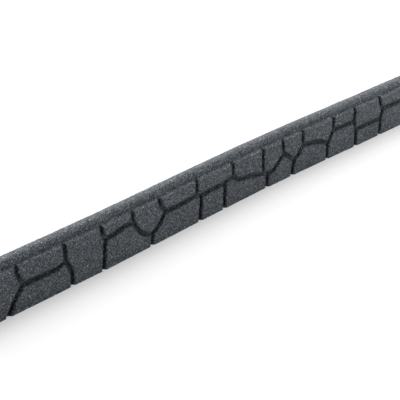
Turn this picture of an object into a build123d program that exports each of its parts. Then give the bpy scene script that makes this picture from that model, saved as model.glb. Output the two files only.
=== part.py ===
"""Garden edging strip, moulded in one piece from bonded rubber crumb.

A low wall with a half-round cap along its top, and a front of stacked stones that stand proud of
the joints between them. The strip is soft enough to sway a little along its length, and the stones
follow the sway.

X runs along the strip, the stones face -Y and Z is up. The origin lies on the base, under the
middle of the strip.
"""

from build123d import *

import os
from math import copysign, cos, radians, tan

# Overall sizes, in millimetres
strip_length = 1200.0
strip_height = 90.0
strip_depth = 30.0

# Cap: how much of it shows above the stones
cap_reveal = 14.5

# Joints between the stones: their depth, their width at the floor, and how far the lowest ones run on
# below the base
joint_depth = 6.0
joint_width = 4.0
joint_overrun = 7.5

# Stones: the slope and bevel of their sides, the least radius at the corners of their flat faces, how
# far their gentle corners are rounded, and their root in the wall
stone_draft = 17.0
stone_edge_bevel = 2.2
stone_corner_radius = 0.6
corner_reach = 4.5
stone_root = 3.0

# Sway of the strip: places along its length, and how far its middle line lies to the back there, as
# shares of the length and of the height of the sway
sway_height = 5.0
sway_shares = [
    (0.0, -0.32),
    (0.15, -0.44),
    (0.25, -0.42),
    (0.45, 0.62),
    (0.55, 0.94),
    (0.65, 0.78),
    (0.75, 0.2),
    (0.85, -0.5),
    (1.0, -1.24),
]

# Where the joint lines meet or turn, as shares of the strip's length and of the joints' height
joint_shares = {
    # along the top, under the cap
    "t0": (0.0, 1.0),
    "t1": (0.081, 1.0),
    "t2": (0.165, 1.0),
    "t3": (0.235, 1.0),
    "t4": (0.296, 1.0),
    "t5": (0.353, 1.0),
    "t6": (0.436, 1.0),
    "t7": (0.517, 1.0),
    "t8": (0.59, 1.0),
    "t9": (0.636, 1.0),
    "t10": (0.687, 1.0),
    "t11": (0.764, 1.0),
    "t12": (0.82, 1.0),
    "t13": (0.887, 1.0),
    "t14": (0.963, 1.0),
    "t15": (1.0, 1.0),
    # along the base
    "b0": (0.0, 0.0),
    "b1": (0.059, 0.0),
    "b2": (0.179, 0.0),
    "b3": (0.237, 0.0),
    "b4": (0.336, 0.0),
    "b5": (0.441, 0.0),
    "b6": (0.4975, 0.0),
    "b7": (0.5995, 0.0),
    "b8": (0.66, 0.0),
    "b9": (0.749, 0.0),
    "b10": (0.823, 0.0),
    "b11": (0.888, 0.0),
    "b12": (0.963, 0.0),
    "b13": (1.0, 0.0),
    # between the two, from left to right
    "m1": (0.081, 0.818),
    "m2": (0.091, 0.57),
    "m3": (0.078, 0.394),
    "m4": (0.153, 0.5625),
    "m5": (0.167, 0.631),
    "m6": (0.178, 0.383),
    "m7": (0.2355, 0.815),
    "m8": (0.2415, 0.7),
    "m9": (0.257, 0.697),
    "m10": (0.28, 0.76),
    "m11": (0.2975, 0.735),
    "m12": (0.313, 0.471),
    "m13": (0.325, 0.378),
    "m14": (0.3375, 0.328),
    "m15": (0.3546, 0.808),
    "m16": (0.365, 0.653),
    "m17": (0.354, 0.458),
    "m18": (0.392, 0.633),
    "m19": (0.434, 0.653),
    "m20": (0.4454, 0.617),
    "m21": (0.499, 0.635),
    "m22": (0.519, 0.664),
    "m23": (0.53, 0.565),
    "m24": (0.59, 0.438),
    "m25": (0.6012, 0.382),
    "m26": (0.614, 0.389),
    "m27": (0.64, 0.658),
    "m28": (0.666, 0.411),
    "m29": (0.662, 0.253),
    "m30": (0.678, 0.515),
    "m31": (0.686, 0.658),
    "m32": (0.71, 0.614),
    "m33": (0.735, 0.543),
    "m34": (0.75, 0.438),
    "m35": (0.764, 0.686),
    "m36": (0.818, 0.675),
    "m37": (0.8235, 0.474),
    "m38": (0.891, 0.46),
    "m39": (0.8885, 0.808),
    "m40": (0.896, 0.675),
    "m41": (0.963, 0.653),
}

# The stones from left to right, each by the corners of the joint lines round it
stones = [
    "t0 t1 m1 m2 m3 b1 b0",
    "t1 t2 m5 m4 m2 m1",
    "m2 m4 m5 m6 b2 b1 m3",
    "t2 t3 m7 m8 b3 b2 m6 m5",
    "t3 t4 m11 m10 m9 m8 m7",
    "m8 m9 m10 m11 m12 m13 m14 b4 b3",
    "t4 t5 m15 m16 m17 m14 m13 m12 m11",
    "t5 t6 m19 m18 m16 m15",
    "m16 m18 m19 m20 b5 b4 m14 m17",
    "t6 t7 m22 m21 m20 m19",
    "m20 m21 b6 b5",
    "m21 m22 m23 m24 m25 b7 b6",
    "t7 t8 m24 m23 m22",
    "t8 t9 m27 m26 m25 m24",
    "m25 m26 m27 m28 m29 b8 b7",
    "t9 t10 m31 m30 m28 m27",
    "m28 m30 m31 m32 m33 m34 b9 b8 m29",
    "t10 t11 m35 m34 m33 m32 m31",
    "m35 m36 m37 b10 b9 m34",
    "t11 t12 m36 m35",
    "t12 t13 m39 m40 m38 m37 m36",
    "m37 m38 b11 b10",
    "t13 t14 m41 m40 m39",
    "m40 m41 b12 b11 m38",
    "t14 t15 b13 b12",
]

# Sizes that follow
cap_radius = (strip_depth - joint_depth) / 2
cap_spring = strip_height - cap_radius
back_offset = strip_depth / 2
floor_offset = back_offset - joint_depth
stone_slope = tan(radians(stone_draft))
joint_inset = joint_width / 2
joint_height = joint_overrun + strip_height - cap_reveal + joint_inset
root_inset = joint_inset - stone_root * stone_slope
bevel_inset = joint_inset + (joint_depth - stone_edge_bevel) * stone_slope
face_inset = bevel_inset + stone_edge_bevel

# A stone's outlines at its root, at the foot of its bevel and on its face: how far each lies out from the
# wall, and how far inside the joint lines
stone_levels = [
    (-stone_root, root_inset),
    (joint_depth - stone_edge_bevel, bevel_inset),
    (joint_depth, face_inset),
]


def plan_path():
    """The strip's middle line in plan: straight runs that turn by a degree or so where they meet."""
    with BuildLine() as plan:
        Polyline(*[(along * strip_length, back * sway_height) for along, back in sway_shares])
    middle = plan.line.bounding_box().center()
    return Wire(plan.line.moved(Location(-middle)).edges())


def stone_corners(names):
    """A stone's corner points on the joint lines, and the share of the strip's length at its middle."""
    shares = [joint_shares[name] for name in names.split()]
    alongs = [along for along, up in shares]
    middle_share = (min(alongs) + max(alongs)) / 2
    points = [
        ((along - middle_share) * strip_length, up * joint_height - joint_overrun) for along, up in shares
    ]
    return points, middle_share


def draw_outline(points, inset):
    """Draws a stone's outline inside its joint lines, an arc at each corner and a line to the next one. A
    set reach rounds the gentle corners, and sharp ones are wide enough to leave the least radius on the
    flat face."""
    arcs = []
    for index, point in enumerate(points):
        before = (Vector(point) - Vector(points[index - 1])).normalized()
        after = (Vector(points[(index + 1) % len(points)]) - Vector(point)).normalized()
        half_turn = radians(before.get_angle(after) / 2)
        radius = max(corner_reach / tan(half_turn), face_inset + stone_corner_radius)
        radius += copysign(inset, before.cross(after).Z)
        inward = (before + after).cross(Vector(0, 0, 1)) / (1 + before.dot(after))
        corner = Vector(point) + inward * inset
        reach = radius * tan(half_turn)
        middle = corner + (after - before).normalized() * (radius / cos(half_turn) - radius)
        arcs.append(ThreePointArc(corner - before * reach, middle, corner + after * reach))
    for index, arc in enumerate(arcs):
        Line(arcs[index - 1] @ 1, arc @ 0)


def stone_block(points):
    """One stone lying face up: X along the strip, Y up the wall, Z out from the wall."""
    with BuildPart() as block:
        for level, inset in stone_levels:
            with BuildSketch(Plane.XY.offset(level)):
                with BuildLine():
                    draw_outline(points, inset)
                make_face()
        loft(ruled=True)
        split(bisect_by=Plane.XZ, keep=Keep.BOTTOM)
    return block.part


def stone_plane(path, share):
    """The plane of the wall's front where a stone stands, facing out."""
    along = path % share
    front = along.cross(Vector(0, 0, 1))
    return Plane(origin=path @ share + front * floor_offset, x_dir=along, z_dir=front)


path = plan_path()
placed_stones = []
for names in stones:
    points, middle_share = stone_corners(names)
    placed_stones.append(stone_block(points).moved(stone_plane(path, middle_share).location))

# The wall and its cap follow the plan line, and the stones join its front
with BuildPart() as edging_strip:
    with BuildSketch(Plane(origin=path @ 0, x_dir=Vector(0, 0, 1).cross(path % 0), z_dir=path % 0)):
        with BuildLine():
            wall = Polyline(
                (back_offset, cap_spring),
                (back_offset, 0),
                (-floor_offset, 0),
                (-floor_offset, cap_spring),
            )
            ThreePointArc(wall @ 1, (joint_depth / 2, strip_height), wall @ 0)
        make_face()
    sweep(path=path, transition=Transition.RIGHT)
    add(placed_stones)

edging_strip.part.label = "edging_strip"
os.makedirs("parts", exist_ok=True)
export_step(edging_strip.part, "parts/edging_strip.step")
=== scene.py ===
"""Looks of a garden edging strip moulded from bonded rubber crumb, with its studio. Lengths are in metres."""

from math import radians

import bpy
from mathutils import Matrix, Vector


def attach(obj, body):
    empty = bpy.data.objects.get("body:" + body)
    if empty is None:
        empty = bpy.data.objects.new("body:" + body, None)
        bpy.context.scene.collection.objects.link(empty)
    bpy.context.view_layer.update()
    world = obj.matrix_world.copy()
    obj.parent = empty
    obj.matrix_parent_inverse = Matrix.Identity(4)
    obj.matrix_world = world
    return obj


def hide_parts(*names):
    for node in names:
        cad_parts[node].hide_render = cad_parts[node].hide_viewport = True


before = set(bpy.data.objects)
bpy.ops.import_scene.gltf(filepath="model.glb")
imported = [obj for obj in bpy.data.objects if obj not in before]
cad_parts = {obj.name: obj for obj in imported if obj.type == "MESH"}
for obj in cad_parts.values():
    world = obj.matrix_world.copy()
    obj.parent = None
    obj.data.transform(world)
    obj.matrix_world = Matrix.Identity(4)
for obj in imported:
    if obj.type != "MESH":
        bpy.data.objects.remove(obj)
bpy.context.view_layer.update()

# Mesh of the strip: its grain, how near points are merged, how strongly and how often its edges are worn
# round, the share of its triangles that is kept, and how high its uneven foot is cut off
mesh_grain = 0.001
merge_distance = 0.00001
edge_wear = 0.5
edge_wear_passes = 1
kept_share = 0.335
foot_height = 0.0021

# Relief pressed into the strip: the depth and width of the swell of its faces, and of its crumb
face_swell_depth = 0.0007
face_swell_width = 0.03
face_swell_detail = 1
crumb_depth = 0.0012
crumb_width = 0.0032

# Grains of the crumb: how many lie in a metre, and their tones from the darkest to the few pale ones, each
# with the share of the grains that are darker
grains = 620.0
grain_tones = [
    (0.0, (0.012, 0.016, 0.02, 1)),
    (0.5, (0.07, 0.086, 0.103, 1)),
    (0.987, (0.24, 0.282, 0.326, 1)),
    (0.994, (0.5, 0.53, 0.55, 1)),
    (1.0, (0.72, 0.745, 0.76, 1)),
]

# Gaps between the grains: where a grain starts to fall away and where it ends, and the shade there
gap_reach = (0.3, 0.75)
gap_shade = 0.3

# Surface of the rubber, how deep the grains stand, and the scale and depth of the fine roughness on them
rubber_roughness = 0.6
grain_bump_depth = 0.0007
fine_scale = 1500.0
fine_depth = 0.0003

# Painted shade in the joints: how far around a point is felt and how finely, how open a deep joint and a
# free face are, the shade and gloss of each, and how far a surface turns to count as a joint's flank or a
# ledge
# The flanks get the darkest painted shade, the floors a lighter one, and the ledges painted light from above.
joint_reach = 0.012
joint_samples = 8
openness = (0.45, 1.0)
joint_floor_painted_shade = 0.34
joint_flank_painted_shade = 0.02
free_face_painted_shade = 1.08
ledge_painted_light = 0.95
joint_gloss = 0.05
free_face_gloss = 0.55
flank_turn = (0.35, 0.9)
ledge_turn = (0.25, 0.75)

# Studio: a pale floor that glows a little, a white room, a wide key light and a panel near the right end
floor_width = 30.0
floor_color = (0.45, 0.45, 0.45, 1)
floor_roughness = 0.9
floor_gloss = 0.1
floor_glow = 0.38
white = (1, 1, 1, 1)
room_strength = 0.12
key_side = Vector((0.35, 0.38, 0.85))
key_strength = 4.8
key_spread = 70.0
panel_place = Vector((1.3, -0.5, 0.7))
panel_aim = Vector((0.5, 0.0, 0.05))
panel_strength = 5.5
panel_size = 0.8

# Camera, as the photograph was taken: its turn and fall in degrees, its lens and sensor in millimetres
camera_turn = 51.77
camera_fall = 22.2
camera_lens = 148.5
camera_sensor = 36.0
camera_distance = 2.696
camera_aim = Vector((-0.0757, -0.0143, 0.0405))


def add_modifier(piece, kind, **settings):
    """Adds a modifier to the piece and applies it."""
    modifier = piece.modifiers.new(kind.lower(), kind)
    for name, value in settings.items():
        setattr(modifier, name, value)
    bpy.ops.object.modifier_apply(modifier=modifier.name)


def relief_texture(name, kind, **settings):
    """A solid texture that gives a surface its relief."""
    texture = bpy.data.textures.new(name, kind)
    for setting, value in settings.items():
        setattr(texture, setting, value)
    return texture


def sink_relief(piece, texture, depth):
    """Sinks the surface into the piece by up to the depth, where the texture is dark."""
    add_modifier(
        piece, "DISPLACE", texture=texture, texture_coords="LOCAL", strength=depth, mid_level=1.0
    )


def flat_foot():
    """Cuts the uneven foot off the active piece, closes the cut and presses it flat onto the ground."""
    bpy.ops.object.mode_set(mode="EDIT")
    bpy.ops.mesh.select_all(action="SELECT")
    bpy.ops.mesh.bisect(
        plane_co=(0, 0, foot_height), plane_no=(0, 0, 1), use_fill=True, clear_inner=True
    )
    bpy.ops.transform.resize(value=(1, 1, 0), center_override=(0, 0, 0))
    bpy.ops.mesh.mark_sharp()
    bpy.ops.object.mode_set(mode="OBJECT")


def moulded_strip():
    """The whole strip, with worn edges and the uneven surface of pressed crumb."""
    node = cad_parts["edging_strip"]
    strip = bpy.data.objects.new("stone_faced_strip", node.data.copy())
    bpy.context.scene.collection.objects.link(strip)
    bpy.ops.object.select_all(action="DESELECT")
    strip.select_set(True)
    bpy.context.view_layer.objects.active = strip

    bpy.ops.object.mode_set(mode="EDIT")
    bpy.ops.mesh.select_all(action="SELECT")
    bpy.ops.mesh.remove_doubles(threshold=merge_distance)
    bpy.ops.mesh.customdata_custom_splitnormals_clear()
    bpy.ops.object.mode_set(mode="OBJECT")

    add_modifier(strip, "REMESH", mode="VOXEL", voxel_size=mesh_grain, adaptivity=0.0)
    add_modifier(strip, "SMOOTH", factor=edge_wear, iterations=edge_wear_passes)
    swell = relief_texture(
        "face_swell", "CLOUDS", noise_scale=face_swell_width, noise_depth=face_swell_detail
    )
    sink_relief(strip, swell, face_swell_depth)
    crumb = relief_texture("crumb", "VORONOI", noise_scale=crumb_width, distance_metric="DISTANCE")
    sink_relief(strip, crumb, crumb_depth)
    add_modifier(strip, "DECIMATE", ratio=kept_share)
    flat_foot()
    bpy.ops.object.shade_smooth()
    return strip


def add_node(material, kind, place, **settings):
    """A node at its place in the material, with its settings."""
    node = material.node_tree.nodes.new(kind)
    node.location = place
    for name, value in settings.items():
        setattr(node, name, value)
    return node


def span(material, place, value, lows, highs):
    """A node that spreads a value from between two lows onto the stretch between two highs."""
    node = add_node(material, "ShaderNodeMapRange", place)
    node.inputs["From Min"].default_value, node.inputs["From Max"].default_value = lows
    node.inputs["To Min"].default_value, node.inputs["To Max"].default_value = highs
    material.node_tree.links.new(value, node.inputs["Value"])
    return node


def blend(material, place, way, first, second):
    """A colour blended with another one in the given way."""
    node = add_node(material, "ShaderNodeMix", place, data_type="RGBA", blend_type=way)
    node.inputs["Factor"].default_value = 1.0
    material.node_tree.links.new(first, node.inputs["A"])
    material.node_tree.links.new(second, node.inputs["B"])
    return node.outputs["Result"]


def grain_color(material, crumb):
    """The colour of the grains, each in one tone, with dark gaps between them."""
    link = material.node_tree.links.new
    draw = add_node(material, "ShaderNodeSeparateColor", (-1000, 300))
    link(crumb.outputs["Color"], draw.inputs["Color"])
    tones = add_node(material, "ShaderNodeValToRGB", (-800, 300))
    link(draw.outputs["Red"], tones.inputs["Fac"])
    ramp = tones.color_ramp
    ramp.elements[0].color = grain_tones[0][1]
    ramp.elements[1].color = grain_tones[-1][1]
    for share, tone in grain_tones[1:-1]:
        ramp.elements.new(share).color = tone

    gaps = span(material, (-800, 0), crumb.outputs["Distance"], gap_reach, (1.0, gap_shade))
    return blend(material, (-500, 200), "MULTIPLY", tones.outputs["Color"], gaps.outputs["Result"])


def painted_joint_shade(material, place, shelter):
    """Painted shade in the joints: darkest on their flanks, less dark on their floors, with painted light on
    ledges.
    """
    link = material.node_tree.links.new
    facing = add_node(material, "ShaderNodeSeparateXYZ", (-1200, 900))
    link(place.outputs["Normal"], facing.inputs["Vector"])
    sideways = add_node(material, "ShaderNodeMath", (-1000, 800), operation="ABSOLUTE")
    link(facing.outputs["X"], sideways.inputs[0])
    # Painted shade: side walls of the joints, facing along the strip, are painted darkest.
    flank = span(
        material, (-800, 800), sideways.outputs["Value"], flank_turn, (joint_floor_painted_shade, joint_flank_painted_shade)
    )
    # Painted shade: the more sheltered a point, the darker it is painted.
    shade = span(material, (-500, 600), shelter.outputs["AO"], openness, (joint_floor_painted_shade, free_face_painted_shade))
    link(flank.outputs["Result"], shade.inputs["To Min"])
    # Painted light: surfaces facing up are kept light, as if lit from above, where the painted shade would
    # darken them.
    ledge = span(material, (-500, 900), facing.outputs["Z"], ledge_turn, (0.0, ledge_painted_light))
    return blend(material, (-300, 900), "LIGHTEN", shade.outputs["Result"], ledge.outputs["Result"])


def crumb_bump(material, place, crumb):
    """The bump of the grains, with a fine roughness on them."""
    link = material.node_tree.links.new
    fine = add_node(material, "ShaderNodeTexNoise", (-1200, -300))
    fine.inputs["Scale"].default_value = fine_scale
    link(place.outputs["Object"], fine.inputs["Vector"])
    rough = add_node(material, "ShaderNodeBump", (-500, -300))
    rough.inputs["Distance"].default_value = fine_depth
    link(fine.outputs["Fac"], rough.inputs["Height"])
    bump = add_node(material, "ShaderNodeBump", (-300, -200), invert=True)
    bump.inputs["Distance"].default_value = grain_bump_depth
    link(crumb.outputs["Distance"], bump.inputs["Height"])
    link(rough.outputs["Normal"], bump.inputs["Normal"])
    return bump.outputs["Normal"]


def crumb_rubber():
    """Dark slate rubber crumb, duller in the joints, with shade painted into the joints and light onto
    ledges.
    """
    material = bpy.data.materials.new("crumb_rubber")
    material.use_nodes = True
    link = material.node_tree.links.new
    shader = material.node_tree.nodes["Principled BSDF"]
    shader.inputs["Roughness"].default_value = rubber_roughness

    place = add_node(material, "ShaderNodeTexCoord", (-1400, 0))
    crumb = add_node(material, "ShaderNodeTexVoronoi", (-1200, 200))
    crumb.inputs["Scale"].default_value = grains
    link(place.outputs["Object"], crumb.inputs["Vector"])
    # How sheltered each point is, for the painted shade in the joints and their lower gloss.
    shelter = add_node(
        material, "ShaderNodeAmbientOcclusion", (-800, 600), samples=joint_samples, only_local=True
    )
    shelter.inputs["Distance"].default_value = joint_reach

    grained = grain_color(material, crumb)
    shade = painted_joint_shade(material, place, shelter)
    # The grain colour, darkened by the painted shade in the joints and kept light by the painted light on
    # ledges.
    link(blend(material, (-100, 300), "MULTIPLY", grained, shade), shader.inputs["Base Color"])
    gloss = span(material, (-300, 600), shelter.outputs["AO"], openness, (joint_gloss, free_face_gloss))
    link(gloss.outputs["Result"], shader.inputs["Specular IOR Level"])
    link(crumb_bump(material, place, crumb), shader.inputs["Normal"])
    return material


def pale_floor():
    """A plain pale floor, wide enough for every view."""
    bpy.ops.object.select_all(action="DESELECT")
    bpy.ops.mesh.primitive_plane_add(size=floor_width)
    floor = bpy.context.active_object
    floor.name = "floor"
    material = bpy.data.materials.new("pale_floor")
    material.use_nodes = True
    shader = material.node_tree.nodes["Principled BSDF"]
    shader.inputs["Base Color"].default_value = floor_color
    shader.inputs["Roughness"].default_value = floor_roughness
    shader.inputs["Specular IOR Level"].default_value = floor_gloss
    shader.inputs["Emission Color"].default_value = white
    shader.inputs["Emission Strength"].default_value = floor_glow
    floor.data.materials.append(material)


def white_room():
    """The even light of a white room."""
    world = bpy.data.worlds.new("pale_room")
    bpy.context.scene.world = world
    world.use_nodes = True
    background = world.node_tree.nodes["Background"]
    background.inputs["Color"].default_value = white
    background.inputs["Strength"].default_value = room_strength


def key_light():
    """A wide soft light from far away, above and behind the strip."""
    turn = key_side.to_track_quat("Z", "Y").to_euler()
    bpy.ops.object.light_add(type="SUN", rotation=turn)
    light = bpy.context.active_object
    light.name = "key"
    light.data.energy = key_strength
    light.data.angle = radians(key_spread)


def right_panel():
    """A soft light panel in front of the right end."""
    turn = (panel_place - panel_aim).to_track_quat("Z", "Y").to_euler()
    bpy.ops.object.light_add(type="AREA", location=panel_place, rotation=turn)
    light = bpy.context.active_object
    light.name = "right_panel"
    light.data.energy = panel_strength
    light.data.size = panel_size


def photo_camera():
    """The camera where the photograph was taken from."""
    bpy.ops.object.camera_add(rotation=(radians(90 - camera_fall), 0, radians(-camera_turn)))
    camera = bpy.context.active_object
    camera.data.lens = camera_lens
    camera.data.sensor_width = camera_sensor
    back = camera.rotation_euler.to_matrix() @ Vector((0, 0, 1))
    camera.location = camera_aim + back * camera_distance
    bpy.context.scene.camera = camera


strip = moulded_strip()
strip.data.materials.clear()
strip.data.materials.append(crumb_rubber())
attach(strip, "root")
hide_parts("edging_strip")
pale_floor()
white_room()
key_light()
right_panel()
photo_camera()
bpy.context.scene.view_settings.view_transform = "Standard"
